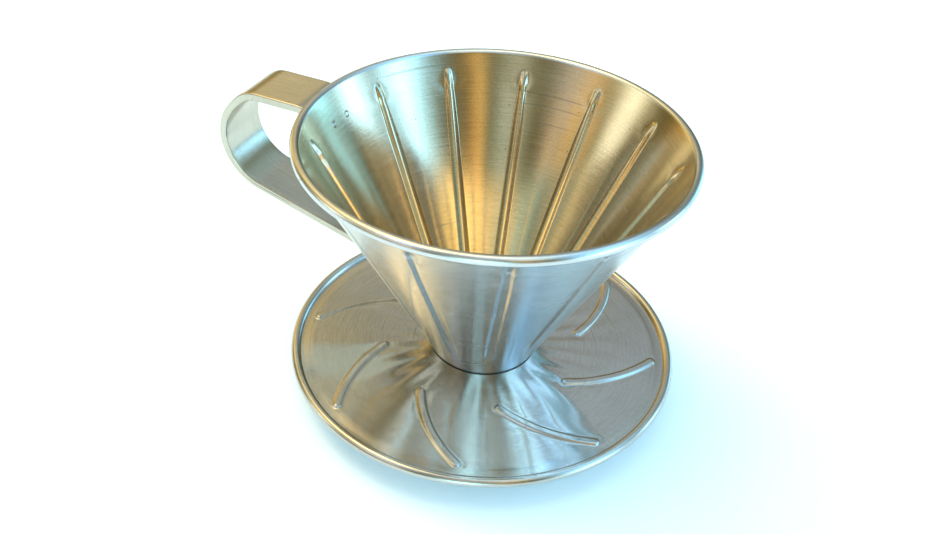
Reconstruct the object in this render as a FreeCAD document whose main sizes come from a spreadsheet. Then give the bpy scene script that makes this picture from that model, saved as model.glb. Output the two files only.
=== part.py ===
"""Stainless steel pour-over coffee dripper: drawn cone, saucer, strap handle and their welds.

Millimetres, +Z up. The origin is on the cone's axis at the lower end of the outlet, which is the
lowest point, and the handle points to -X. Turned profiles are drawn in the XZ plane at +X.
"""

import FreeCAD, Part
import math
import os

import Sketcher

SIZES = {
    # sheet metal and its rolled edges
    "sheet_gauge": 1.0,
    "curl_diameter": 3.0,
    "curl_bore": 1.0,
    # cone
    "rim_diameter": 115.0,
    "wall_angle": 27.8,
    "outlet_radius": 13.0,
    "collar_length": 3.0,
    # straight ribs pressed into the cone
    "rib_breadth": 3.0,
    "rib_rise": 1.0,
    "rib_hollow": 0.9,
    "rib_low": 21.5,
    "rib_high": 79.0,
    "rib_count": 11,
    "rib_pitch": 27.69,
    "rib_first": 158.2,
    "rib_gap": 44.3,
    # saucer
    "saucer_diameter": 122.4,
    "bead_drop": 0.3,
    "neck_radius": 16.6,
    "neck_gap": 0.05,
    "gutter_breadth": 4.2,
    "gutter_slope": 1.6,
    "gutter_depth": 0.5,
    # curved ribs pressed into the saucer
    "vane_count": 8,
    "vane_breadth": 3.0,
    "vane_rise": 1.0,
    "vane_inner": 31.8,
    "vane_outer": 54.2,
    "vane_lag": 28.0,
    "vane_bend": 46.0,
    "vane_azimuth": 15.5,
    "vane_round": 0.85,
    "vane_hollow": 1.5,
    # strap handle
    "strap_gauge": 2.4,
    "strap_breadth": 18.0,
    "strap_gap": 0.05,
    "strap_top": 82.8,
    "strap_reach": 88.6,
    "strap_corner": 74.2,
    "corner_bend": 9.0,
    "loop_bend": 16.0,
    "tab_bend": 7.8,
    "tab_length": 8.0,
    "slant_angle": 45.0,
    "leg_angle": 15.6,
    # welds
    "hole_bevel": 1.2,
    "hole_land": 0.3,
    "spot_radius": 1.2,
    "spot_rise": 0.25,
    "spot_gap": 0.05,
    "spot_spread": 3.7,
    "spot_high": 76.6,
    "spot_low": 30.5,
}

DERIVED = {
    "wall_run": "tan(Sizes.wall_angle)",
    "wall_sin": "sin(Sizes.wall_angle)",
    "wall_cos": "cos(Sizes.wall_angle)",
    "curl_outer": "Sizes.curl_diameter / 2",
    "curl_inner": "Sizes.curl_bore / 2",
    # the rim's curl rolls outward from the wall, which meets it as a tangent
    "rim_x": "Sizes.rim_diameter / 2 - Derived.curl_outer",
    "rim_z": "Sizes.collar_length + (Derived.rim_x - Derived.curl_inner / Derived.wall_cos"
             " - Sizes.outlet_radius) / Derived.wall_run",
    "bore": "Sizes.outlet_radius - Sizes.sheet_gauge",
    "bore_top": "Sizes.collar_length"
                " + Sizes.sheet_gauge * (1 / Derived.wall_cos - 1) / Derived.wall_run",
    # a rib is a round bar along the wall, sunk below its inner face
    "rib_bar": "(Sizes.rib_breadth ^ 2 / 4 + Sizes.rib_rise ^ 2) / (2 * Sizes.rib_rise)",
    "rib_sunk": "Sizes.sheet_gauge + Sizes.rib_rise - Derived.rib_bar",
    # saucer
    "saucer_z": "Sizes.collar_length"
                " + (Sizes.neck_radius - Sizes.outlet_radius) / Derived.wall_run",
    "saucer_under": "Derived.saucer_z - Sizes.sheet_gauge",
    "saucer_hole": "Sizes.neck_radius + Sizes.neck_gap",
    "bead_x": "Sizes.saucer_diameter / 2 - Derived.curl_outer",
    "bead_z": "Derived.saucer_z - Sizes.bead_drop",
    "gutter_x": "Derived.bead_x - Derived.curl_outer - Sizes.gutter_breadth",
    # the vane's arc: its two ends, the chord between them and the arc's centre
    "vane_ix": "Sizes.vane_inner * cos(Sizes.vane_lag)",
    "vane_iy": "Sizes.vane_inner * sin(Sizes.vane_lag)",
    "vane_chord": "sqrt((Sizes.vane_outer - Derived.vane_ix) ^ 2 + Derived.vane_iy ^ 2)",
    "vane_sag": "sqrt(Sizes.vane_bend ^ 2 - Derived.vane_chord ^ 2 / 4)",
    "vane_cx": "(Sizes.vane_outer + Derived.vane_ix) / 2"
               " - Derived.vane_iy * Derived.vane_sag / Derived.vane_chord",
    "vane_cy": "(Sizes.vane_outer - Derived.vane_ix) * Derived.vane_sag / Derived.vane_chord"
               " - Derived.vane_iy / 2",
    # the strap's bends, from the rim round to the foot of the cone
    "half_strap": "Sizes.strap_gauge / 2",
    "head_outer": "Sizes.tab_bend + Derived.half_strap",
    "head_x": "Sizes.outlet_radius + (Sizes.strap_top - Sizes.collar_length) * Derived.wall_run"
              " + (Sizes.strap_gap + Derived.head_outer * (1 - Derived.wall_sin))"
              " / Derived.wall_cos",
    "head_z": "Sizes.strap_top - Derived.head_outer",
    "corner_z": "Sizes.strap_top - Sizes.corner_bend - Derived.half_strap",
    "loop_x": "Sizes.strap_reach - Sizes.loop_bend - Derived.half_strap",
    "loop_z": "Derived.corner_z + ((Sizes.strap_corner - Derived.loop_x) * cos(Sizes.slant_angle)"
              " + Sizes.corner_bend - Sizes.loop_bend) / sin(Sizes.slant_angle)",
    "leg_reach": "Sizes.loop_bend + Sizes.tab_bend + sin(Sizes.leg_angle) * Derived.loop_x"
                 " - cos(Sizes.leg_angle) * Derived.loop_z",
    "wall_reach": "Sizes.strap_gap + Derived.head_outer + Derived.wall_cos * Sizes.outlet_radius"
                  " - Derived.wall_sin * Sizes.collar_length",
    "foot_x": "(cos(Sizes.leg_angle) * Derived.wall_reach - Derived.wall_sin * Derived.leg_reach)"
              " / cos(Sizes.leg_angle + Sizes.wall_angle)",
    "foot_z": "(sin(Sizes.leg_angle) * Derived.wall_reach - Derived.wall_cos * Derived.leg_reach)"
              " / cos(Sizes.leg_angle + Sizes.wall_angle)",
}

doc = FreeCAD.newDocument("dripper")
sheet = doc.addObject("Spreadsheet::Sheet", "Sizes")
for row, (alias, value) in enumerate(SIZES.items(), 1):
    sheet.set(f"A{row}", alias)
    sheet.set(f"B{row}", str(value))
    sheet.setAlias(f"B{row}", alias)
doc.recompute()

derived = doc.addObject("App::VarSet", "Derived")
for name, formula in DERIVED.items():
    derived.addProperty("App::PropertyFloat", name, "Derived")
    derived.setExpression(name, formula)
doc.recompute()


def value(formula):
    """The number that a formula of the sheet's sizes stands for."""
    result = sheet.evalExpression(str(formula))
    return float(getattr(result, "Value", result))


def wall(height):
    """Formula of the cone's outer radius at a height."""
    return f"(Sizes.outlet_radius + ({height} - Sizes.collar_length) * Derived.wall_run)"


def polar(centre, radius, angle):
    """Formulas of the point at a radius and angle from a centre."""
    x, z = centre
    return f"{x} + ({radius}) * cos({angle})", f"{z} + ({radius}) * sin({angle})"


def along_wall(start, distance):
    """Formulas of the point that lies a distance further down the wall than the start."""
    x, z = start
    return f"{x} - ({distance}) * Derived.wall_sin", f"{z} - ({distance}) * Derived.wall_cos"


def new_body(label):
    body = doc.addObject("PartDesign::Body", label)
    body.Label = label
    return body


def origin(body, role):
    return next(item for item in body.Origin.OriginFeatures if item.Role == role)


def new_sketch(body, name, plane="XZ_Plane", height=None):
    """An empty sketch on one of the body's own planes, raised by a height formula."""
    sketch = body.newObject("Sketcher::SketchObject", name)
    sketch.AttachmentSupport = [(origin(body, plane), "")]
    sketch.MapMode = "FlatFace"
    if height:
        sketch.setExpression(".AttachmentOffset.Base.z", height)
    return sketch


def bind(sketch, kind, where, formula):
    """Adds one dimension to a sketch and binds it to its formula."""
    number = sketch.addConstraint(Sketcher.Constraint(kind, *where, value(formula)))
    sketch.setExpression(f"Constraints[{number}]", str(formula))


def pin(sketch, vertex, x=None, y=None):
    """Holds a vertex's coordinates, measured from the sketch's origin."""
    if x is not None:
        bind(sketch, "DistanceX", (-1, 1, *vertex), x)
    if y is not None and value(y) == 0:
        sketch.addConstraint(Sketcher.Constraint("PointOnObject", *vertex, -1))
    elif y is not None:
        bind(sketch, "DistanceY", (-1, 1, *vertex), y)


def add_edge(sketch, start, end, arc):
    """Draws a line or an arc (centre, radius, turn); gives its start and end vertices."""
    if not arc:
        line = Part.LineSegment(FreeCAD.Vector(*start, 0), FreeCAD.Vector(*end, 0))
        number = sketch.addGeometry(line)
        return (number, 1), (number, 2)
    cx, cy = value(arc[0][0]), value(arc[0][1])
    circle = Part.Circle(FreeCAD.Vector(cx, cy, 0), FreeCAD.Vector(0, 0, 1), value(arc[1]))
    first = math.atan2(start[1] - cy, start[0] - cx)
    last = math.atan2(end[1] - cy, end[0] - cx)
    if arc[2] == "left":
        number = sketch.addGeometry(Part.ArcOfCircle(circle, first, last))
        return (number, 1), (number, 2)
    number = sketch.addGeometry(Part.ArcOfCircle(circle, last, first))
    return (number, 2), (number, 1)


def draw(sketch, outline):
    """Closed profile of corners (x, y) or (x, y, arc), where the arc leads to the next corner.

    A corner between lines is held by both coordinates. One on an arc is held by the arc's circle
    and by the coordinate that changes most along it.
    """
    corners = [(value(corner[0]), value(corner[1])) for corner in outline]
    arcs = [corner[2] if len(corner) > 2 else None for corner in outline]
    total = len(outline)
    edges = [add_edge(sketch, corners[i], corners[(i + 1) % total], arcs[i])
             for i in range(total)]
    for i, (head, _) in enumerate(edges):
        x, y = outline[i][:2]
        arc = arcs[i] or arcs[i - 1]
        sketch.addConstraint(Sketcher.Constraint("Coincident", *edges[i - 1][1], *head))
        if not arc:
            pin(sketch, head, x, y)
        elif abs(corners[i][0] - value(arc[0][0])) > abs(corners[i][1] - value(arc[0][1])):
            pin(sketch, head, y=y)
        else:
            pin(sketch, head, x=x)
        if arcs[i]:
            pin(sketch, (head[0], 3), *arcs[i][0])
            bind(sketch, "Radius", (head[0],), arcs[i][1])
    return sketch


def turned(body, kind, name, sketch, axis=None):
    """A full revolution of a sketch, about the body's own axis unless another is given."""
    feature = body.newObject(f"PartDesign::{kind}", name)
    feature.Profile = sketch
    feature.ReferenceAxis = axis or (origin(body, "Z_Axis"), [""])
    feature.Angle = 360
    body.Tip = feature
    doc.recompute()
    return feature


def ring_of(body, name, original, count, angle, reverse=False):
    """Repeats a feature round the body's Z axis, the copies spread over an angle."""
    pattern = body.newObject("PartDesign::PolarPattern", name)
    pattern.Originals = [original]
    pattern.Axis = (origin(body, "Z_Axis"), [""])
    pattern.setExpression("Occurrences", count)
    pattern.setExpression("Angle", angle)
    pattern.Reversed = reverse
    body.Tip = pattern
    doc.recompute()
    return pattern


def turn_body(body, azimuth):
    """Turns the whole body about Z to an azimuth formula."""
    body.Placement.Rotation = FreeCAD.Rotation(FreeCAD.Vector(0, 0, 1), value(azimuth))
    body.setExpression(".Placement.Rotation.Angle", azimuth)


def curl_section(centre, start):
    """A hollow roll's section: three quarters of a turn, clockwise from the start angle."""
    end = f"({start} - 270)"
    outer, inner = "Derived.curl_outer", "Derived.curl_inner"
    return [
        (*polar(centre, outer, start), (centre, outer, "right")),
        polar(centre, outer, end),
        (*polar(centre, inner, end), (centre, inner, "left")),
        polar(centre, inner, start),
    ]


def bar_section(radius):
    """Half the section of a round-ended bar along the wall, between the rib's two ends."""
    inset = "(Sizes.sheet_gauge - Derived.rib_sunk)"
    ends = []
    for height in ("Sizes.rib_high", "Sizes.rib_low"):
        ends.append((f"{wall(height)} - Derived.rib_sunk * Derived.wall_cos",
                     f"{height} + Derived.rib_sunk * Derived.wall_sin"))
    top, bottom = ends
    inward = "(180 - Sizes.wall_angle)"
    return [
        (*polar(top, radius, "(90 - Sizes.wall_angle)"), (top, radius, "left")),
        polar(top, radius, inward),
        (*polar(bottom, radius, inward), (bottom, radius, "left")),
        polar(bottom, radius, "(270 - Sizes.wall_angle)"),
    ]


def rib_feature(body, kind, name, radius):
    """A bar turned about its own long side, repeated for every rib of the cone."""
    sketch = draw(new_sketch(body, f"{name}_section"), bar_section(radius))
    bar = turned(body, kind, name, sketch, (sketch, ["Edge4"]))
    ring_of(body, f"{name}_ring", bar, "Sizes.rib_count",
            "Sizes.rib_pitch * (Sizes.rib_count - 1)", reverse=True)
    ring_of(body, f"{name}_beside_handle", bar, "2", "Sizes.rib_gap")


def make_cone():
    """The drawn cone: straight outlet collar, plain wall, twelve ribs and the rolled rim."""
    body = new_body("cone")
    rim = ("Derived.rim_x", "Derived.rim_z")
    tangent = "(180 - Sizes.wall_angle)"
    turned(body, "Revolution", "wall", draw(new_sketch(body, "wall_section"), [
        ("Derived.bore", "0"),
        ("Sizes.outlet_radius", "0"),
        ("Sizes.outlet_radius", "Sizes.collar_length"),
        polar(rim, "Derived.curl_inner", tangent),
        polar(rim, "Derived.curl_outer", tangent),
        ("Derived.bore", "Derived.bore_top"),
    ]))
    rib_feature(body, "Revolution", "rib", "Derived.rib_bar")
    low, high = "(Sizes.rib_low - 4)", "(Derived.rim_z - 1)"
    turned(body, "Groove", "outside_trim", draw(new_sketch(body, "outside_section"), [
        (wall(low), low),
        (f"{wall(low)} + 5", low),
        (f"{wall(high)} + 5", high),
        (wall(high), high),
    ]))
    rib_feature(body, "Groove", "rib_back", "Sizes.rib_hollow")
    turned(body, "Revolution", "rim_roll",
           draw(new_sketch(body, "rim_section"), curl_section(rim, tangent)))
    turn_body(body, "Sizes.rib_first")
    return body


def saucer_section():
    """The saucer's section: plate with a bevelled hole, shallow gutter, riser and rolled edge."""
    bead = ("Derived.bead_x", "Derived.bead_z")
    outer, inner = "Derived.curl_outer", "Derived.curl_inner"
    top, under = "Derived.saucer_z", "Derived.saucer_under"
    foot_top, foot_under = f"({top} - Sizes.gutter_depth)", f"({under} - Sizes.gutter_depth)"
    slope_end = "(Derived.gutter_x + Sizes.gutter_slope)"
    return [
        ("Derived.saucer_hole + Sizes.hole_bevel", under),
        ("Derived.gutter_x", under),
        (slope_end, foot_under),
        (f"Derived.bead_x - {inner}", foot_under),
        (*polar(bead, inner, "180"), (bead, inner, "right")),
        polar(bead, inner, "-90"),
        (*polar(bead, outer, "-90"), (bead, outer, "left")),
        polar(bead, outer, "180"),
        (f"Derived.bead_x - {outer}", foot_top),
        (slope_end, foot_top),
        ("Derived.gutter_x", top),
        ("Derived.saucer_hole", top),
        ("Derived.saucer_hole", f"({top} - Sizes.hole_land)"),
    ]


def vane_end(name):
    """Formulas of one end of the vane's centre line."""
    if name == "outer":
        return "Sizes.vane_outer", "0"
    return "Derived.vane_ix", "-Derived.vane_iy"


def draw_vane(sketch, breadth):
    """An arc-shaped slot outline round the vane's centre line."""
    centre = value("Derived.vane_cx"), value("Derived.vane_cy")
    bend = value("Sizes.vane_bend")
    half = value(breadth) / 2
    ends = [tuple(value(part) for part in vane_end(name)) for name in ("inner", "outer")]
    first, last = (math.atan2(y - centre[1], x - centre[0]) for x, y in ends)
    spans = [(centre, bend + half, first, last), (ends[1], half, last, last + math.pi),
             (centre, bend - half, first, last), (ends[0], half, first + math.pi, first)]
    for (x, y), radius, start, end in spans:
        circle = Part.Circle(FreeCAD.Vector(x, y, 0), FreeCAD.Vector(0, 0, 1), radius)
        sketch.addGeometry(Part.ArcOfCircle(circle, start, end))
    for joint in ((0, 2, 1, 1), (1, 2, 2, 2), (2, 1, 3, 1), (3, 2, 0, 1)):
        sketch.addConstraint(Sketcher.Constraint("Tangent", *joint))
    sketch.addConstraint(Sketcher.Constraint("Coincident", 0, 3, 2, 3))
    pin(sketch, (0, 3), "Derived.vane_cx", "Derived.vane_cy")
    bind(sketch, "Radius", (0,), f"Sizes.vane_bend + {breadth} / 2")
    bind(sketch, "Radius", (1,), f"{breadth} / 2")
    pin(sketch, (1, 3), y="0")
    pin(sketch, (3, 3), y="-Derived.vane_iy")
    return sketch


def vane_feature(body, kind, name, height, breadth, depth, up):
    """One vane raised or sunk from a level, repeated all the way round."""
    feature = body.newObject(f"PartDesign::{kind}", name)
    feature.Profile = draw_vane(new_sketch(body, f"{name}_outline", "XY_Plane", height), breadth)
    feature.setExpression("Length", depth)
    feature.Reversed = not up
    body.Tip = feature
    doc.recompute()
    ring_of(body, f"{name}_ring", feature, "Sizes.vane_count", "360")


def round_vanes(body):
    """Rounds the upper edges of all the vanes."""
    crest = value("Derived.saucer_z + Sizes.vane_rise")
    base = body.Tip
    names = []
    for number, edge in enumerate(body.Shape.Edges, 1):
        box = edge.BoundBox
        if abs(box.ZMin - crest) < 1e-4 and abs(box.ZMax - crest) < 1e-4:
            names.append(f"Edge{number}")
    fillet = body.newObject("PartDesign::Fillet", "vane_crests")
    fillet.Base = (base, names)
    fillet.setExpression("Radius", "Sizes.vane_round")
    body.Tip = fillet
    doc.recompute()


def make_saucer():
    """The saucer that sits on the mug: flat plate with curved ribs and a rolled edge."""
    body = new_body("saucer")
    turned(body, "Revolution", "plate", draw(new_sketch(body, "plate_section"), saucer_section()))
    vane_feature(body, "Pad", "vane", "Derived.saucer_z", "Sizes.vane_breadth",
                 "Sizes.vane_rise", True)
    round_vanes(body)
    before = body.Shape.Volume
    vane_feature(body, "Pocket", "vane_back", "Derived.saucer_under", "Sizes.vane_hollow",
                 "Sizes.sheet_gauge", False)
    if body.Shape.Volume >= before:
        raise RuntimeError("the vanes' hollows cut nothing")
    turn_body(body, "Sizes.vane_azimuth")
    return body


def strap_outline():
    """The strap's edge view: upper tab, top leg, loop, lower leg and lower tab."""
    head, foot = ("Derived.head_x", "Derived.head_z"), ("Derived.foot_x", "Derived.foot_z")
    corner, loop = ("Sizes.strap_corner", "Derived.corner_z"), ("Derived.loop_x", "Derived.loop_z")
    half = "Derived.half_strap"
    on_wall, slant = "(180 - Sizes.wall_angle)", "(90 - Sizes.slant_angle)"
    leg, leg_back = "(Sizes.leg_angle - 90)", "(90 + Sizes.leg_angle)"
    head_out, head_in = "Derived.head_outer", f"(Sizes.tab_bend - {half})"
    corner_out, corner_in = f"(Sizes.corner_bend + {half})", f"(Sizes.corner_bend - {half})"
    loop_out, loop_in = f"(Sizes.loop_bend + {half})", f"(Sizes.loop_bend - {half})"
    tab = "Sizes.tab_length"
    return [
        along_wall(polar(head, head_out, on_wall), tab),
        (*polar(head, head_out, on_wall), (head, head_out, "right")),
        polar(head, head_out, "90"),
        (*polar(corner, corner_out, "90"), (corner, corner_out, "right")),
        polar(corner, corner_out, slant),
        (*polar(loop, loop_out, slant), (loop, loop_out, "right")),
        polar(loop, loop_out, leg),
        (*polar(foot, head_in, leg_back), (foot, head_in, "left")),
        polar(foot, head_in, on_wall),
        along_wall(polar(foot, head_in, on_wall), tab),
        along_wall(polar(foot, head_out, on_wall), tab),
        (*polar(foot, head_out, on_wall), (foot, head_out, "right")),
        polar(foot, head_out, leg_back),
        (*polar(loop, loop_in, leg), (loop, loop_in, "left")),
        polar(loop, loop_in, slant),
        (*polar(corner, corner_in, slant), (corner, corner_in, "left")),
        polar(corner, corner_in, "90"),
        (*polar(head, head_in, "90"), (head, head_in, "left")),
        polar(head, head_in, on_wall),
        along_wall(polar(head, head_in, on_wall), tab),
    ]


def make_handle():
    """The flat strap, bent into a loop, with a tab at each end that lies on the cone."""
    body = new_body("handle")
    pad = body.newObject("PartDesign::Pad", "strap")
    pad.Profile = draw(new_sketch(body, "strap_edge"), strap_outline())
    pad.setExpression("Length", "Sizes.strap_breadth")
    pad.Midplane = True
    body.Tip = pad
    turn_body(body, "180")
    return body


def make_neck_weld():
    """The weld between cone and saucer, flush with the saucer's underside."""
    body = new_body("neck_weld")
    under, root = "Derived.saucer_under", "(Derived.saucer_z - Sizes.hole_land)"
    turned(body, "Revolution", "bead", draw(new_sketch(body, "bead_section"), [
        (wall(under), under),
        ("Derived.saucer_hole + Sizes.hole_bevel", under),
        ("Derived.saucer_hole", root),
        (wall(root), root),
    ]))
    return body


def make_spots(label, height):
    """Two low spot-weld buttons inside the cone, opposite one of the handle's tabs."""
    buttons = []
    for side, sign in (("left", "-"), ("right", "")):
        button = doc.addObject("Part::Cylinder", f"{label}_{side}")
        button.setExpression("Radius", "Sizes.spot_radius")
        button.setExpression("Height", "Sizes.spot_rise")
        inner = f"({wall(height)} - Sizes.sheet_gauge / Derived.wall_cos - Sizes.spot_gap)"
        azimuth = f"(180 + {sign}asin(Sizes.spot_spread / {inner}) / 1 deg)"
        inward = FreeCAD.Rotation(FreeCAD.Vector(0, 0, 1), value(azimuth)).multiply(
            FreeCAD.Rotation(FreeCAD.Vector(0, 1, 0), value("Sizes.wall_angle") - 90))
        button.Placement = FreeCAD.Placement(FreeCAD.Vector(), inward)
        button.setExpression(".Placement.Base.x", f"{inner} * cos({azimuth})")
        button.setExpression(".Placement.Base.y", f"{inner} * sin({azimuth})")
        button.setExpression(".Placement.Base.z", height)
        buttons.append(button)
    pair = doc.addObject("Part::Compound", label)
    pair.Label = label
    pair.Links = buttons
    return pair


def check(nodes):
    """Stops if anything in the document failed, or a piece is empty, broken or overlapping."""
    for item in doc.Objects:
        if {"Invalid", "Error"} & set(item.State):
            raise RuntimeError(f"{item.Name} failed: {item.State}")
    for node in nodes:
        if node.Shape.isNull() or not node.Shape.isValid() or not node.Shape.Solids:
            raise RuntimeError(f"{node.Label} has no valid solid")
        print(f"{node.Label}: {len(node.Shape.Solids)} solids, {node.Shape.Volume:.0f} mm3")
    for i, first in enumerate(nodes):
        for second in nodes[i + 1:]:
            shared = first.Shape.common(second.Shape).Volume
            if shared > 1e-3:
                raise RuntimeError(f"{first.Label} overlaps {second.Label} by {shared:.4f} mm3")


parts = [
    make_cone(),
    make_saucer(),
    make_handle(),
    make_neck_weld(),
    make_spots("handle_upper_spot_welds", "Sizes.spot_high"),
    make_spots("handle_lower_spot_welds", "Sizes.spot_low"),
]
doc.recompute()
check(parts)
os.makedirs("parts", exist_ok=True)
for part in parts:
    part.Shape.exportStep(f"parts/{part.Label}.step")
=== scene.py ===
"""Looks of the brushed-steel pour-over dripper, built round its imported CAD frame. Metres, +Z up."""

import math

import bmesh
import bpy
import numpy as np
from mathutils import Euler, Matrix, Vector


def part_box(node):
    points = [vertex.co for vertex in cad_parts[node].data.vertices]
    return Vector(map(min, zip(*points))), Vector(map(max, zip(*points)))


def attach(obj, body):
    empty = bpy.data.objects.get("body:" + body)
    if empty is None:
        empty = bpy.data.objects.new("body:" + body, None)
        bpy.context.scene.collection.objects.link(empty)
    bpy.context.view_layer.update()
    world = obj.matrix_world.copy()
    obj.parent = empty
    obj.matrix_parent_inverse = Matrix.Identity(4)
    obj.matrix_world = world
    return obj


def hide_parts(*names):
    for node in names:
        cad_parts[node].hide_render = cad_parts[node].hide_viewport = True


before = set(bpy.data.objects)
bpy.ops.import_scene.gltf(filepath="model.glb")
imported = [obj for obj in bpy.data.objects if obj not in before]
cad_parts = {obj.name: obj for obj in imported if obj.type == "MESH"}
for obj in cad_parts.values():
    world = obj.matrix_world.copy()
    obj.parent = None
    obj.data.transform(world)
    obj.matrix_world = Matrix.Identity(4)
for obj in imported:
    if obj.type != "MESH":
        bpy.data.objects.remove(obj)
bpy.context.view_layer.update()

MM = 0.001

# Sheet, and the rolled edges of cone and saucer.
GAUGE = 1.0 * MM
CURL = 1.5 * MM
CURL_BORE = 0.5 * MM

# Cone: its straight outlet collar, its wall and the ribs pressed inwards.
RIM_RADIUS = (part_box("cone")[1].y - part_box("cone")[0].y) / 2
RIM_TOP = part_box("cone")[1].z
WALL_ANGLE = math.radians(27.8)
WALL_LEAN = math.degrees(WALL_ANGLE)
WALL_RUN, WALL_SIN, WALL_COS = math.tan(WALL_ANGLE), math.sin(WALL_ANGLE), math.cos(WALL_ANGLE)
COLLAR = 3.0 * MM
OUTLET = 13.0 * MM
RIB_LOW, RIB_HIGH = 21.5 * MM, 79.0 * MM
RIB_AZIMUTHS = [math.radians(158.2 - 27.69 * i) for i in range(11)] + [math.radians(202.5 - 360)]
RIB_RISE = 0.85 * MM
RIB_BREADTH_INSIDE, RIB_BREADTH_OUTSIDE = 1.7 * MM, 1.9 * MM
RIB_SIDE = 1.0 * MM
RIB_TAPER, RIB_TAPER_LENGTH = 0.25, 16 * MM
RIB_FOOT_RISE, RIB_FOOT_LENGTH = 0.25, 8 * MM
RIB_BAND = 2.4 * MM

# Waves of the drawn sheet, its draw-in beside the ribs and the halos round their upper ends.
WAVE = 0.035 * MM
WAVE_START, WAVE_FADE = 22 * MM, 20 * MM
DRAW_IN, DRAW_IN_BREADTH = 0.16 * MM, 4.5 * MM
HALO, HALO_RADIUS, HALO_BREADTH = 0.10 * MM, 3.0 * MM, 1.1 * MM
STILL_EDGE = 6 * MM

# Saucer: its gutter beside the rolled edge and the curved ribs, here called vanes.
SAUCER_RADIUS = (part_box("saucer")[1].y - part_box("saucer")[0].y) / 2
SAUCER_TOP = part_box("saucer")[1].z - CURL + 0.3 * MM
SAUCER_FIT = 0.05 * MM
GUTTER_BREADTH, GUTTER_DEPTH = 4.2 * MM, 0.24 * MM
VANE_AZIMUTHS = [math.radians(15.5 + 45 * i) for i in range(8)]
VANE_INNER, VANE_OUTER = 31.8 * MM, 54.2 * MM
VANE_LAG = math.radians(28)
VANE_BEND = 46 * MM
VANE_RISE, VANE_BREADTH, VANE_SIDE = 0.6 * MM, 1.6 * MM, 0.9 * MM
VANE_DIP, VANE_DIP_PLACE, VANE_DIP_BREADTH = 0.05 * MM, 2.1 * MM, 0.9 * MM
VANE_BAND = 4.0 * MM
SAUCER_WAVE, SAUCER_RIPPLE = 0.03 * MM, 0.06 * MM

# Strap handle: half its section, the bends of its path, and the flat tabs at its ends.
STRAP_HALF_BREADTH, STRAP_HALF, STRAP_SOFT = 9.0 * MM, 1.2 * MM, 0.42 * MM
STRAP_STEP = 1.2 * MM
TAB_BEND, CORNER_BEND, LOOP_BEND = 7.8 * MM, 9.0 * MM, 16.0 * MM
TAB_LENGTH, TAB_FIT = 8.0 * MM, 0.05 * MM
CORNER_REACH = 74.2 * MM
CORNER_TURN, LEG_TURN = 45, 15.6

# Spot-weld marks: radius, and their section as distance from the middle and height, in millimetres.
SPOT_RADIUS = 1.2 * MM
SPOT_SECTION = [(0.0, 0.01), (0.3, 0.01), (0.55, 0.04), (0.75, 0.15), (0.9, 0.17), (1.05, 0.08),
                (1.2, -0.02), (1.2, -0.15), (0.6, -0.15), (0.0, -0.15)]


def outer_wall(z):
    """Radius of the cone's outer face at a height."""
    return OUTLET + (z - COLLAR) * WALL_RUN


def inner_wall(z):
    """Radius of the cone's inner face at a height."""
    return outer_wall(z) - GAUGE / WALL_COS


def turn(centre, radius, start, end, count):
    """Points of an arc in the profile plane, angles in degrees."""
    angles = np.radians(np.linspace(start, end, count))
    return [(centre[0] + radius * math.cos(a), centre[1] + radius * math.sin(a)) for a in angles]


def line(start, end, count):
    """Points from start to end, without the end."""
    steps = np.linspace(0, 1, count, endpoint=False)
    return [(start[0] + t * (end[0] - start[0]), start[1] + t * (end[1] - start[1]))
            for t in steps]


def pressed_round(distance, breadth):
    """Height, from 0 to 1, of a round-backed rib at a distance from its centre line."""
    return np.clip(1 - (distance / breadth) ** 2, 0, 1) ** 1.25


def pressed_flat(distance, breadth, side):
    """Height, from 0 to 1, of a flat-backed rib with sloping sides of a given width."""
    rise = np.clip((breadth - distance) / side, 0, 1)
    return rise * rise * (3 - 2 * rise)


def hollow(distance, breadth):
    """Bell curve, 1 on the line and fading over a breadth on each side."""
    return np.exp(-(distance / breadth) ** 2)


def new_mesh(name, points, faces, uvs, replaced, materials, material_of_face=None):
    """A smooth piece that rides on the root and stands for its CAD node."""
    mesh = bpy.data.meshes.new(name)
    mesh.from_pydata(points.tolist(), [], faces.tolist())
    layer = mesh.uv_layers.new(name="UVMap")
    layer.data.foreach_set("uv", uvs.astype(np.float32).ravel())
    mesh.polygons.foreach_set("use_smooth", [True] * len(mesh.polygons))
    for material in materials:
        mesh.materials.append(material)
    if material_of_face is not None:
        mesh.polygons.foreach_set("material_index", material_of_face)
    piece = bpy.data.objects.new(name, mesh)
    bpy.context.scene.collection.objects.link(piece)
    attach(piece, "root")
    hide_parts(replaced)
    return piece


def grid_faces(rows, columns, close_rows=True):
    """Quads of a grid of rows by closed columns, with the row and column of each corner."""
    i = np.arange(rows if close_rows else rows - 1)
    i, j = (a.ravel() for a in np.meshgrid(i, np.arange(columns), indexing="ij"))
    corners = [(i, j), (i, j + 1), (i + 1, j + 1), (i + 1, j)]
    faces = np.stack([(r % rows) * columns + c % columns for r, c in corners], axis=1)
    return faces, corners


def path_length(path):
    """Length from the start of a path to each of its points."""
    return np.concatenate([[0], np.cumsum(np.hypot(*np.diff(path, axis=0).T))])


def column_azimuths(radii, ribs, band, band_count, gap_count):
    """Azimuths of a turned grid: columns run beside each rib's centre line, denser near it.

    ribs holds each rib's azimuth for every row, and band is the half-width of the dense columns.
    """
    order = np.argsort(ribs[0])
    ribs = ribs[:, order]
    following = np.concatenate([ribs[:, 1:], ribs[:, :1] + 2 * math.pi], axis=1)
    half = band / radii[:, None]
    across = np.linspace(-1, 1, band_count)
    between = np.linspace(0, 1, gap_count + 2)[1:-1]
    columns = []
    for k in range(ribs.shape[1]):
        columns.append(ribs[:, k:k + 1] + half * across)
        left = ribs[:, k:k + 1] + half
        columns.append(left + (following[:, k:k + 1] - half - left) * between)
    return np.concatenate(columns, axis=1)


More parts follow.
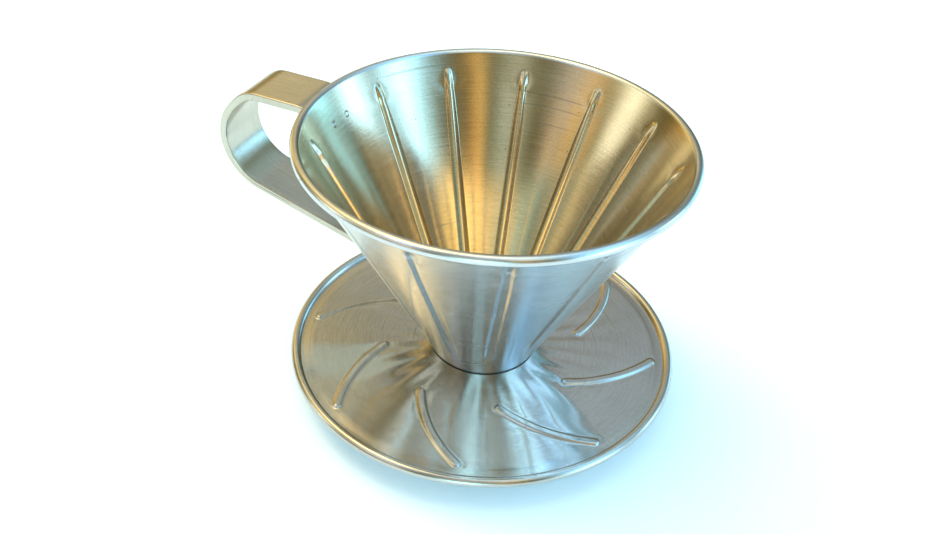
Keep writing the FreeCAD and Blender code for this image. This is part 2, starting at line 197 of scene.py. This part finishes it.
def turned_piece(name, profile, azimuths, lift, materials, material_of_row):
    """A closed turned skin: profile rows, azimuth columns and a lift vector (radial, up)."""
    r = profile[:, :1] + lift[0]
    z = profile[:, 1:2] + lift[1]
    points = np.stack([r * np.cos(azimuths), r * np.sin(azimuths), z * np.ones_like(azimuths)],
                      axis=-1)
    rows, columns = azimuths.shape
    faces, corners = grid_faces(rows, columns)
    length = path_length(np.vstack([profile, profile[:1]]))
    turns = np.concatenate([azimuths, azimuths[:, :1] + 2 * math.pi], axis=1)
    uvs = np.stack([np.stack([turns[r % rows, c], length[r]], axis=-1) for r, c in corners],
                   axis=1)
    return new_mesh(name + "_skin", points.reshape(-1, 3), faces, uvs, name, materials,
                    np.repeat(material_of_row, columns))


def wall_points(radius_at, heights, counts):
    """Points of the cone's wall from height to height, without the last one."""
    points = []
    for start, end, count in zip(heights, heights[1:], counts):
        points += line((radius_at(start), start), (radius_at(end), end), count)
    return points


def cone_profile():
    """The cone's section, from the outlet's lip up the inside, over the rim and down the outside.

    Gives the points and, for each, the side of the sheet: 1 inside, -1 outside, 0 elsewhere.
    """
    rim_x = RIM_RADIUS - CURL
    rim = (rim_x, COLLAR + (rim_x - CURL_BORE / WALL_COS - OUTLET) / WALL_RUN)
    bore = OUTLET - GAUGE
    bore_top = COLLAR + GAUGE * (1 / WALL_COS - 1) / WALL_RUN
    lip = (bore + GAUGE / 2, GAUGE / 2)
    back, front = 180 - WALL_LEAN, -90 - WALL_LEAN
    inside_end = turn(rim, CURL, back, back, 1)[0][1]
    outside_end = turn(rim, CURL_BORE, back, back, 1)[0][1]
    heights = [15 * MM, RIB_LOW - 3 * MM, RIB_LOW + 3 * MM, RIB_HIGH - 5 * MM]
    counts = [5, 5, 20, 44, 26]
    stretches = [
        (turn(lip, GAUGE / 2, 270, 180, 7), 0),
        (line((bore, GAUGE), (bore, bore_top), 4), 0),
        (wall_points(inner_wall, [bore_top, *heights, inside_end], counts), 1),
        (turn(rim, CURL, back, front, 34), 0),
        (turn(rim, CURL_BORE, front, back, 16)[:-1], 0),
        (wall_points(outer_wall, [outside_end, *heights[::-1], COLLAR], counts[::-1]), -1),
        (line((OUTLET, COLLAR), (OUTLET, GAUGE), 4), 0),
        (turn(lip, GAUGE / 2, 0, -90, 7)[:-1], 0),
    ]
    points = [point for stretch, _ in stretches for point in stretch]
    sides = [side for stretch, side in stretches for _ in stretch]
    return np.array(points), np.array(sides)


def cone_ribs(azimuths, r, z, inner):
    """How far the ribs, and the sheet beside them, are pressed inwards."""
    along = z / WALL_COS
    low, high = RIB_LOW / WALL_COS, RIB_HIGH / WALL_COS
    beyond = np.maximum(0, np.maximum(low - along, along - high))
    above = np.minimum((along - (RIB_HIGH - 1.5 * MM) / WALL_COS) * 0.8, HALO_RADIUS)
    taper = 1 - RIB_TAPER * np.clip((along - high) / RIB_TAPER_LENGTH + 1, 0, 1)
    rise = RIB_RISE * np.clip((along - low) / RIB_FOOT_LENGTH + RIB_FOOT_RISE, 0, 1)
    push = np.zeros_like(azimuths)
    for rib in RIB_AZIMUTHS:
        across = ((azimuths - rib + math.pi) % (2 * math.pi) - math.pi) * r
        distance = np.hypot(across, beyond)
        push += rise * np.where(inner, pressed_round(distance, RIB_BREADTH_INSIDE * taper),
                                pressed_flat(distance, RIB_BREADTH_OUTSIDE * taper, RIB_SIDE))
        push += DRAW_IN * hollow(distance, DRAW_IN_BREADTH)
        push -= HALO * hollow(np.hypot(across, above) - HALO_RADIUS, HALO_BREADTH)
    return push


def make_cone(inside, outside):
    """Drawn cone with twelve ribs pressed inwards, and its rolled rim."""
    profile, sides = cone_profile()
    ribs = np.tile(RIB_AZIMUTHS, (len(profile), 1))
    azimuths = column_azimuths(profile[:, 0], ribs, RIB_BAND, 25, 13)
    r, z = profile[:, :1], profile[:, 1:]
    push = cone_ribs(azimuths, r, z, sides[:, None] > 0)
    wave = WAVE * (np.sin(5 * azimuths + 60 * z) + np.sin(9 * azimuths - 95 * z + 1)
                   + 0.5 * np.sin(23 * azimuths + 30 * z))
    near_rim = np.clip((RIM_TOP - 2 * CURL - z) / STILL_EDGE, 0, 1)
    foot = np.clip((z - WAVE_START) / WAVE_FADE, 0, 1)
    push = (push + wave * foot) * near_rim * np.abs(sides[:, None])
    lift = (-push * WALL_COS, push * WALL_SIN)
    return turned_piece("cone", profile, azimuths, lift, [inside, outside],
                        (sides < 1).astype(int))


def saucer_profile():
    """The saucer's section, from the hole out along the top, round the bead and back under."""
    bead = (SAUCER_RADIUS - CURL, SAUCER_TOP - 0.3 * MM)
    hole = outer_wall(SAUCER_TOP) + SAUCER_FIT
    foot = bead[0] - CURL
    gutter = foot - GUTTER_BREADTH
    top, under = SAUCER_TOP, SAUCER_TOP - GAUGE
    bottom, low = top - GUTTER_DEPTH, under - 0.5 * MM
    points = []
    stations = [hole, VANE_INNER - 2 * MM, VANE_INNER + 3 * MM, VANE_OUTER - 4 * MM, gutter]
    for near, far, count in zip(stations, stations[1:], [24, 25, 44, 20]):
        points += line((near, top), (far, top), count)
    points += [(gutter + t * (foot - 0.2 * MM - gutter),
                top - GUTTER_DEPTH * (0.5 - 0.5 * math.cos(math.pi * t)))
               for t in np.linspace(0, 1, 20, endpoint=False)]
    points += [(foot - 0.2 * MM, bottom), (foot - 0.06 * MM, bottom), (foot, bottom + 0.03 * MM)]
    points += turn(bead, CURL, 180, -90, 32)
    points += turn(bead, CURL_BORE, -90, 180, 14)
    points += line((foot + GAUGE, under - 0.3 * MM), (foot + GAUGE, low), 2)
    points += line((foot + GAUGE, low), (gutter + 3 * MM, low), 5)
    points += line((gutter + 3 * MM, low), (gutter, under), 5)
    points += line((gutter, under), (VANE_INNER - 2 * MM, under), 70)
    points += line((VANE_INNER - 2 * MM, under), (hole, under), 8)
    points.append((hole, under))
    return np.array(points)


def vane_arc():
    """Centre, ends and end angles of the arc of a vane whose outer end is on +X."""
    inner = np.array([VANE_INNER * math.cos(VANE_LAG), -VANE_INNER * math.sin(VANE_LAG)])
    outer = np.array([VANE_OUTER, 0.0])
    chord = outer - inner
    length = np.hypot(*chord)
    left = np.array([-chord[1], chord[0]]) / length
    centre = (inner + outer) / 2 + left * math.sqrt(VANE_BEND ** 2 - length ** 2 / 4)
    start, end = (math.atan2(*(tip - centre)[::-1]) for tip in (inner, outer))
    return centre, inner, outer, start, end


def vane_azimuth(radii):
    """Azimuth of the vane's centre line at each radius, held at its ends' values beyond them."""
    centre, _, _, start, end = vane_arc()
    angles = np.linspace(start, end, 60)
    path = centre + VANE_BEND * np.stack([np.cos(angles), np.sin(angles)], axis=1)
    return np.interp(radii, np.hypot(*path.T), np.arctan2(path[:, 1], path[:, 0]))


def vane_distance(x, y):
    """Distance of each point from the vane's centre line."""
    centre, inner, outer, start, end = vane_arc()
    away = np.abs(np.hypot(x - centre[0], y - centre[1]) - VANE_BEND)
    angle = np.arctan2(y - centre[1], x - centre[0])
    ends = np.minimum(np.hypot(x - inner[0], y - inner[1]), np.hypot(x - outer[0], y - outer[1]))
    return np.where((angle > start) & (angle < end), away, ends)


def make_saucer(material):
    """Flat saucer with eight curved ribs pressed upwards and a rolled edge."""
    profile = saucer_profile()
    radii = profile[:, 0]
    flow = vane_azimuth(radii)
    ribs = np.array([flow + azimuth for azimuth in VANE_AZIMUTHS]).T
    azimuths = column_azimuths(radii, ribs, VANE_BAND, 31, 12)
    r = profile[:, :1]
    push = np.zeros_like(azimuths)
    for vane in VANE_AZIMUTHS:
        distance = vane_distance(r * np.cos(azimuths - vane), r * np.sin(azimuths - vane))
        push += VANE_RISE * pressed_flat(distance, VANE_BREADTH, VANE_SIDE)
        push -= VANE_DIP * hollow(distance - VANE_DIP_PLACE, VANE_DIP_BREADTH)
    flat = radii < SAUCER_RADIUS - 2 * CURL - 2.6 * MM
    wave = SAUCER_WAVE * (np.sin(3 * azimuths + 90 * r) + np.sin(5 * azimuths - 160 * r + 2))
    ripple = SAUCER_RIPPLE * np.sin(31 * azimuths + 1)
    off_neck = np.clip((r - 18 * MM) / (5 * MM), 0, 1)
    near_neck = np.clip((52 * MM - r) / (22 * MM), 0, 1)
    push = (push + wave * off_neck + ripple * off_neck * near_neck) * flat[:, None]
    return turned_piece("saucer", profile, azimuths, (0 * push, push),
                        [material], np.zeros(len(profile), int))


def strap_bends():
    """Centres of the strap's bends: upper tab, upper corner, loop and lower tab, as (x, z)."""
    top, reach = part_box("handle")[1].z, -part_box("handle")[0].x
    slant, leg = math.radians(CORNER_TURN), math.radians(LEG_TURN)
    head = np.array([OUTLET + (top - COLLAR) * WALL_RUN
                     + (TAB_FIT + (TAB_BEND + STRAP_HALF) * (1 - WALL_SIN)) / WALL_COS,
                     top - TAB_BEND - STRAP_HALF])
    corner = np.array([CORNER_REACH, top - CORNER_BEND - STRAP_HALF])
    loop_x = reach - LOOP_BEND - STRAP_HALF
    loop = np.array([loop_x, corner[1] + ((corner[0] - loop_x) * math.cos(slant)
                                          + CORNER_BEND - LOOP_BEND) / math.sin(slant)])
    leg_reach = LOOP_BEND + TAB_BEND + math.sin(leg) * loop[0] - math.cos(leg) * loop[1]
    wall_reach = TAB_FIT + TAB_BEND + STRAP_HALF + WALL_COS * OUTLET - WALL_SIN * COLLAR
    share = math.cos(leg + WALL_ANGLE)
    foot = np.array([(math.cos(leg) * wall_reach - WALL_SIN * leg_reach) / share,
                     (math.sin(leg) * wall_reach - WALL_COS * leg_reach) / share])
    return head, corner, loop, foot


def strap_path():
    """Centre line of the strap from the upper tab's end to the lower tab's, as (x, z).

    The strap runs in the plane y = 0 on the -X side; distances from the axis are positive here.
    """
    head, corner, loop, foot = strap_bends()
    down = -TAB_LENGTH * np.array([WALL_SIN, WALL_COS])
    head_arc = turn(head, TAB_BEND, 180 - WALL_LEAN, 90, 14)
    foot_arc = turn(foot, TAB_BEND, 90 + LEG_TURN, 180 - WALL_LEAN, 12)
    foot_end = np.array(foot_arc[-1]) + down
    path = line(np.array(head_arc[0]) + down, head_arc[0], 6)
    path += head_arc + turn(corner, CORNER_BEND, 90, CORNER_TURN, 14)
    path += turn(loop, LOOP_BEND, CORNER_TURN, LEG_TURN - 90, 44)
    path += line(path[-1], foot_arc[0], 30)[1:]
    path += foot_arc + line(foot_arc[-1], foot_end, 6)[1:]
    path.append(tuple(foot_end))
    return np.array(path)


def strap_section():
    """Section of the strap: a flat bar with softly rounded edges, as (across, through)."""
    x, y = STRAP_HALF_BREADTH - STRAP_SOFT, STRAP_HALF - STRAP_SOFT
    points = []
    for centre, start in [((x, y), 0), ((-x, y), 90), ((-x, -y), 180), ((x, -y), 270)]:
        points += turn(centre, STRAP_SOFT, start, start + 90, 6)
    points = np.array(points)
    rows = []
    for first, second in zip(points, np.roll(points, -1, axis=0)):
        count = max(1, round(np.hypot(*(second - first)) / STRAP_STEP))
        rows += line(first, second, count)
    return np.array(rows)


def close_ends(piece):
    """Caps every open edge loop of a piece."""
    mesh = bmesh.new()
    mesh.from_mesh(piece.data)
    bmesh.ops.holes_fill(mesh, edges=[e for e in mesh.edges if e.is_boundary])
    bmesh.ops.recalc_face_normals(mesh, faces=mesh.faces)
    mesh.to_mesh(piece.data)
    mesh.free()


def make_handle(material):
    """The strap handle, a flat bar bent into its loop."""
    path, section = strap_path(), strap_section()
    heading = np.gradient(path, axis=0)
    heading /= np.hypot(*heading.T)[:, None]
    normal = np.stack([-heading[:, 1], heading[:, 0]], axis=1)
    spot = path[:, None, :] + normal[:, None, :] * section[None, :, 1:2]
    points = np.stack([-spot[..., 0], np.broadcast_to(section[:, 0], spot.shape[:2]),
                       spot[..., 1]], axis=-1)
    rows, columns = points.shape[:2]
    faces, corners = grid_faces(rows, columns, close_rows=False)
    along = path_length(path)
    around = path_length(np.vstack([section, section[:1]]))
    uvs = np.stack([np.stack([around[c], along[r]], axis=-1) for r, c in corners], axis=1)
    piece = new_mesh("handle_strap", points.reshape(-1, 3), faces, uvs, "handle",
                     [material])
    close_ends(piece)
    return piece


def spot_points(around, wall, height):
    """Points of one spot-weld mark, ring by ring, standing on the wall at an azimuth."""
    foot = Vector((wall * math.cos(around), wall * math.sin(around), height))
    axis = Vector((-WALL_COS * math.cos(around), -WALL_COS * math.sin(around), WALL_SIN))
    across = Vector((-math.sin(around), math.cos(around), 0))
    up = axis.cross(across)
    points = []
    for reach, rise in SPOT_SECTION:
        for angle in np.radians(np.arange(0, 360, 10)):
            out = across * math.cos(angle) + up * math.sin(angle)
            points.append(foot + out * reach * MM + axis * rise * MM)
    return points


def make_spot_welds(node, material):
    """A pair of spot-weld marks on the inside of the cone: shallow craters with a raised lip."""
    low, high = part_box(node)
    height = (low.z + high.z) / 2
    wall = inner_wall(height)
    off = math.asin((high.y - SPOT_RADIUS) / wall)
    rows, columns = len(SPOT_SECTION), 36
    grid, corners = grid_faces(rows, columns, close_rows=False)
    uvs = np.stack([np.stack([c / columns, r / rows], axis=-1) for r, c in corners], axis=1)
    points = spot_points(math.pi + off, wall, height) + spot_points(math.pi - off, wall, height)
    return new_mesh(node + "_marks", np.array(points),
                    np.concatenate([grid, grid + rows * columns]), np.concatenate([uvs, uvs]),
                    node, [material])


class Nodes:
    """Small helper for wiring a material's nodes."""

    def __init__(self, tree):
        self.tree = tree

    def add(self, kind, inputs=(), **settings):
        """A new shader node, with values or sockets for its inputs."""
        node = self.tree.nodes.new("ShaderNode" + kind)
        for name, setting in settings.items():
            setattr(node, name, setting)
        for key, source in dict(inputs).items():
            self.set(node.inputs[key], source)
        return node

    def set(self, socket, source):
        """Links a socket to another, or gives it a value."""
        if isinstance(source, bpy.types.NodeSocket):
            self.tree.links.new(source, socket)
        else:
            socket.default_value = source

    def math(self, operation, a, b=0.0, c=0.0):
        return self.add("Math", {0: a, 1: b, 2: c}, operation=operation).outputs[0]

    def mix(self, factor, a, b):
        """Blend of two colours."""
        return self.add("Mix", {"Factor": factor, "A": a, "B": b},
                        data_type="RGBA").outputs["Result"]

    def noise(self, vector, scale, detail, rough=0.5):
        return self.add("TexNoise", {"Vector": vector, "Scale": scale, "Detail": detail,
                                     "Roughness": rough}).outputs["Fac"]

    def stretch(self, vector, scale):
        return self.add("Mapping", {"Vector": vector, "Scale": scale}).outputs[0]

    def ramp(self, value, low, high, start=0.0, end=1.0):
        """Smooth step from start to end while the value goes from low to high."""
        return self.add("MapRange", {"Value": value, "From Min": low, "From Max": high,
                                     "To Min": start, "To Max": end},
                        interpolation_type="SMOOTHSTEP").outputs[0]


def steel_dirt(n, uv, solid, grain):
    """Amount of dirt: small dark specks, and faint scratches along the brushing."""
    scratch = n.ramp(n.noise(n.stretch(uv, (grain[0] * 0.25, grain[1] * 0.3, 1)), 1.0, 0.0),
                     0.78, 0.82)
    specks = n.add("TexVoronoi", {"Vector": solid, "Scale": 210.0}).outputs["Distance"]
    speck = n.ramp(specks, 0.028, 0.05, 1.0, 0.0)
    return n.math("MAXIMUM", speck, n.math("MULTIPLY", scratch, 0.35))


def steel_colour(n, solid, streaks, dirt, colour, shade):
    """From shade to colour by the brushing, soft clouds and fine grit, darkened by dirt."""
    clouds = n.noise(solid, 38.0, 3.0, 0.55)
    grit = n.noise(solid, 1500.0, 3.0, 0.7)
    mix = n.math("MULTIPLY_ADD", streaks, 0.5, n.math("MULTIPLY", clouds, 0.35))
    mix = n.math("MULTIPLY_ADD", grit, 0.35, mix)
    tone = n.mix(n.ramp(mix, 0.4, 0.8), (*shade, 1), (*colour, 1))
    return n.mix(n.math("MULTIPLY", dirt, 0.8), tone, (0.1, 0.085, 0.06, 1))


def steel_roughness(n, solid, streaks, dirt, roughness):
    """Roughness that varies with the brushing, with patches and with dirt."""
    patches = n.noise(solid, 110.0, 4.0, 0.6)
    rough = n.math("MULTIPLY_ADD", streaks, 0.12, roughness - 0.09)
    rough = n.math("MULTIPLY_ADD", patches, 0.06, rough)
    return n.math("MULTIPLY_ADD", dirt, 0.25, rough)


def steel_bump(n, uv, streaks, grain):
    """Very fine relief of the brushing."""
    fine = n.noise(n.stretch(uv, tuple(3.1 * g for g in grain)), 1.0, 2.0, 0.5)
    height = n.math("MULTIPLY_ADD", fine, 0.5, streaks)
    return n.add("Bump", {"Strength": 0.14, "Distance": 0.00006, "Height": height}).outputs[0]


def steel(name, colour, shade, roughness, grain, anisotropy, along_uv=False):
    """Brushed steel. grain is how fast the brushing noise varies along U and V.

    A turned piece's U is its azimuth and its V the length along its profile; the strap's are the
    lengths round its section and along it. The brushing runs round the Z axis, or along V where
    along_uv is set.
    """
    material = bpy.data.materials.new(name)
    material.use_nodes = True
    shader = material.node_tree.nodes["Principled BSDF"]
    n = Nodes(material.node_tree)
    place = n.add("TexCoord")
    uv, solid = place.outputs["UV"], place.outputs["Object"]
    streaks = n.noise(n.stretch(uv, grain), 1.0, 5.0, 0.65)
    dirt = steel_dirt(n, uv, solid, grain)
    n.set(shader.inputs["Base Color"], steel_colour(n, solid, streaks, dirt, colour, shade))
    n.set(shader.inputs["Roughness"], steel_roughness(n, solid, streaks, dirt, roughness))
    n.set(shader.inputs["Normal"], steel_bump(n, uv, streaks, grain))
    shader.inputs["Metallic"].default_value = 1.0
    shader.inputs["Anisotropic"].default_value = anisotropy
    shader.inputs["Anisotropic Rotation"].default_value = 0 if along_uv else 0.25
    if along_uv:
        tangent = n.add("Tangent", direction_type="UV_MAP", uv_map="UVMap")
    else:
        tangent = n.add("Tangent", direction_type="RADIAL", axis="Z")
    n.set(shader.inputs["Tangent"], tangent.outputs[0])
    return material


def make_floor():
    """Plain pale floor with a faint blue glow, which shows in the shadow."""
    mesh = bpy.data.meshes.new("floor")
    size = 3.0
    corners = [(-size, -size, 0), (size, -size, 0), (size, size, 0), (-size, size, 0)]
    mesh.from_pydata(corners, [], [(0, 1, 2, 3)])
    floor = bpy.data.objects.new("floor", mesh)
    bpy.context.scene.collection.objects.link(floor)
    material = bpy.data.materials.new("floor_white")
    material.use_nodes = True
    shader = material.node_tree.nodes["Principled BSDF"]
    shader.inputs["Base Color"].default_value = (0.9, 0.93, 0.95, 1)
    shader.inputs["Roughness"].default_value = 0.6
    shader.inputs["Emission Color"].default_value = (0.45, 0.8, 1.0, 1)
    shader.inputs["Emission Strength"].default_value = 0.34
    mesh.materials.append(material)


# Camera, light and room are described as if the camera faced +Y, then turned by this.
VIEW_TURN = math.radians(21.7)


def make_camera():
    """Stands in front and above, a little off the handle's square, with a slight roll."""
    tilt, roll = math.radians(37.22), math.radians(3.74)
    forward = Vector((0, math.cos(tilt), -math.sin(tilt)))
    raised = Vector((0, math.sin(tilt), math.cos(tilt)))
    right = Vector((math.cos(roll), 0, 0)) + raised * math.sin(roll)
    up = Vector((-math.sin(roll), 0, 0)) + raised * math.cos(roll)
    axes = Matrix((right, up, -forward)).transposed().to_4x4()
    place = Vector((-0.00399, -0.24437, 0.22434))
    camera = bpy.data.objects.new("camera", bpy.data.cameras.new("camera"))
    camera.data.sensor_width = 36
    camera.data.lens = 37.9
    camera.matrix_world = (Matrix.Rotation(VIEW_TURN, 4, "Z")
                           @ Matrix.Translation(place) @ axes)
    bpy.context.scene.collection.objects.link(camera)
    bpy.context.scene.camera = camera


# Soft glows of the room: azimuth from the camera's right towards what it faces, elevation,
# sharpness, and colour with strength.
ROOM = {
    "ambient": (0, 90, 1, (0.37, 0.32, 0.11)),
    "right_window": (12, 13, 45, (1.5, 2.7, 3.8)),
    "right_wall": (-20, 14, 40, (1.0, 1.8, 2.6)),
    "right_high": (20, 62, 14, (0.45, 0.95, 1.4)),
    "back_window": (40, 5, 45, (0.8, 2.0, 2.8)),
    "back_high": (78, 42, 30, (0.2, 0.3, 0.5)),
    "back_shelf": (100, 24, 70, (0.65, 0.6, 0.5)),
    "back_left": (128, 41, 30, (1.2, 0.92, 0.5)),
    "back_low": (130, 9, 30, (1.1, 0.7, 0.24)),
    "left_wall": (178, 25, 30, (1.1, 1.1, 0.9)),
    "left_door": (181, 14, 90, (0.9, 0.95, 1.0)),
    "left_window": (215, 42, 30, (0.6, 0.9, 1.4)),
    "ceiling_back": (95, 74, 60, (1.6, 1.2, 0.6)),
    "ceiling_left": (145, 62, 40, (3.3, 2.45, 1.4)),
    "ceiling_far": (181, 69, 60, (2.4, 2.1, 1.3)),
    "ceiling_top": (0, 88, 40, (0.9, 1.1, 1.25)),
    "ceiling_front": (270, 62, 20, (0.1, 0.2, 0.5)),
    "ceiling_warm": (296, 57, 90, (1.2, 1.1, 0.7)),
    "ceiling_near": (266, 52, 120, (0.5, 0.45, 0.25)),
    "high_window": (336, 36, 26, (0.45, 1.4, 2.6)),
    "warm_left": (210, 22, 60, (0.65, 0.38, 0.06)),
    "warm_lamp": (228, 15, 120, (1.1, 0.75, 0.45)),
    "warm_front": (285, 28, 200, (0.8, 0.54, 0.2)),
    "grey_front": (259, 29, 80, (0.35, 0.38, 0.4)),
    "warm_right": (291, 19, 150, (0.7, 0.36, 0.14)),
    "front_low": (265, 2, 40, (2.4, 4.2, 4.8)),
    "front_right": (325, 3, 30, (1.7, 2.8, 3.1)),
}
BACKDROP = (0.93, 0.95, 0.96)


def make_world():
    """The room's glows, which light the pieces, behind a plain pale backdrop."""
    world = bpy.data.worlds.new("room")
    bpy.context.scene.world = world
    world.use_nodes = True
    n = Nodes(world.node_tree)
    seen = n.add("TexCoord").outputs["Generated"]
    seen = n.add("VectorRotate", {"Vector": seen, "Angle": -VIEW_TURN},
                 rotation_type="Z_AXIS").outputs[0]
    total = (0, 0, 0)
    for azimuth, elevation, sharpness, colour in ROOM.values():
        aim = tuple(Euler((0, math.radians(-elevation), math.radians(azimuth)))
                    .to_matrix().col[0])
        dot = n.add("VectorMath", {0: seen, 1: aim}, operation="DOT_PRODUCT").outputs["Value"]
        glow = n.math("EXPONENT", n.math("MULTIPLY_ADD", dot, sharpness, -sharpness))
        part = n.add("VectorMath", {0: colour, "Scale": glow}, operation="SCALE").outputs[0]
        total = n.add("VectorMath", {0: part, 1: total}, operation="ADD").outputs[0]
    shown = n.mix(n.add("LightPath").outputs["Is Camera Ray"], total, (*BACKDROP, 1))
    n.set(world.node_tree.nodes["Background"].inputs["Color"], shown)


def make_light(name, place, aim, size, power, colour):
    """A soft disk light, left out of the reflections, placed in the camera's turned axes."""
    turned = Matrix.Rotation(VIEW_TURN, 4, "Z")
    data = bpy.data.lights.new(name, "AREA")
    data.shape = "DISK"
    data.size = size
    data.energy = power
    data.color = colour
    light = bpy.data.objects.new(name, data)
    light.visible_glossy = False
    place, aim = turned @ Vector(place), turned @ Vector(aim)
    light.location = place
    light.rotation_euler = (aim - place).to_track_quat("-Z", "Y").to_euler()
    bpy.context.scene.collection.objects.link(light)


def make_pieces():
    """The visible pieces, and the neck weld's better material."""
    round_axis, along_strap = (4, 2600, 1), (2600, 60, 1)
    # One sheet, two tints: the inside's warm gold colour is painted warm reflection, and the
    # outside's lighter, bluer colour is painted cool reflection.
    make_cone(steel("inner_steel_painted_warm_reflection", (0.76, 0.68, 0.53), (0.60, 0.52, 0.37), 0.16, round_axis, 0.75),
              steel("outer_steel_painted_cool_reflection", (0.76, 0.78, 0.80), (0.64, 0.66, 0.68), 0.21, round_axis, 0.9))
    make_saucer(steel("saucer_steel", (0.68, 0.67, 0.645), (0.55, 0.535, 0.50), 0.19, round_axis,
                      0.9))
    make_handle(steel("strap_steel", (0.69, 0.66, 0.58), (0.56, 0.53, 0.45), 0.22, along_strap,
                      0.8, along_uv=True))
    mark = steel("mark_steel", (0.62, 0.60, 0.54), (0.42, 0.39, 0.33), 0.24, (20, 20, 1), 0.0)
    for node in ("handle_upper_spot_welds", "handle_lower_spot_welds"):
        make_spot_welds(node, mark)
    weld = steel("weld_metal", (0.42, 0.41, 0.39), (0.3, 0.29, 0.27), 0.42, (200, 200, 1), 0.0)
    neck_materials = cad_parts["neck_weld"].data.materials
    neck_materials.clear()
    neck_materials.append(weld)


make_camera()
make_world()
make_light("key", (-0.8, 0.5, 0.85), (0, 0, 0), 0.5, 2.8, (1.0, 0.96, 0.92))
make_floor()
make_pieces()
bpy.context.scene.view_settings.view_transform = "Standard"
bpy.context.scene.view_settings.exposure = 0.12
bpy.context.scene.view_settings.gamma = 0.85
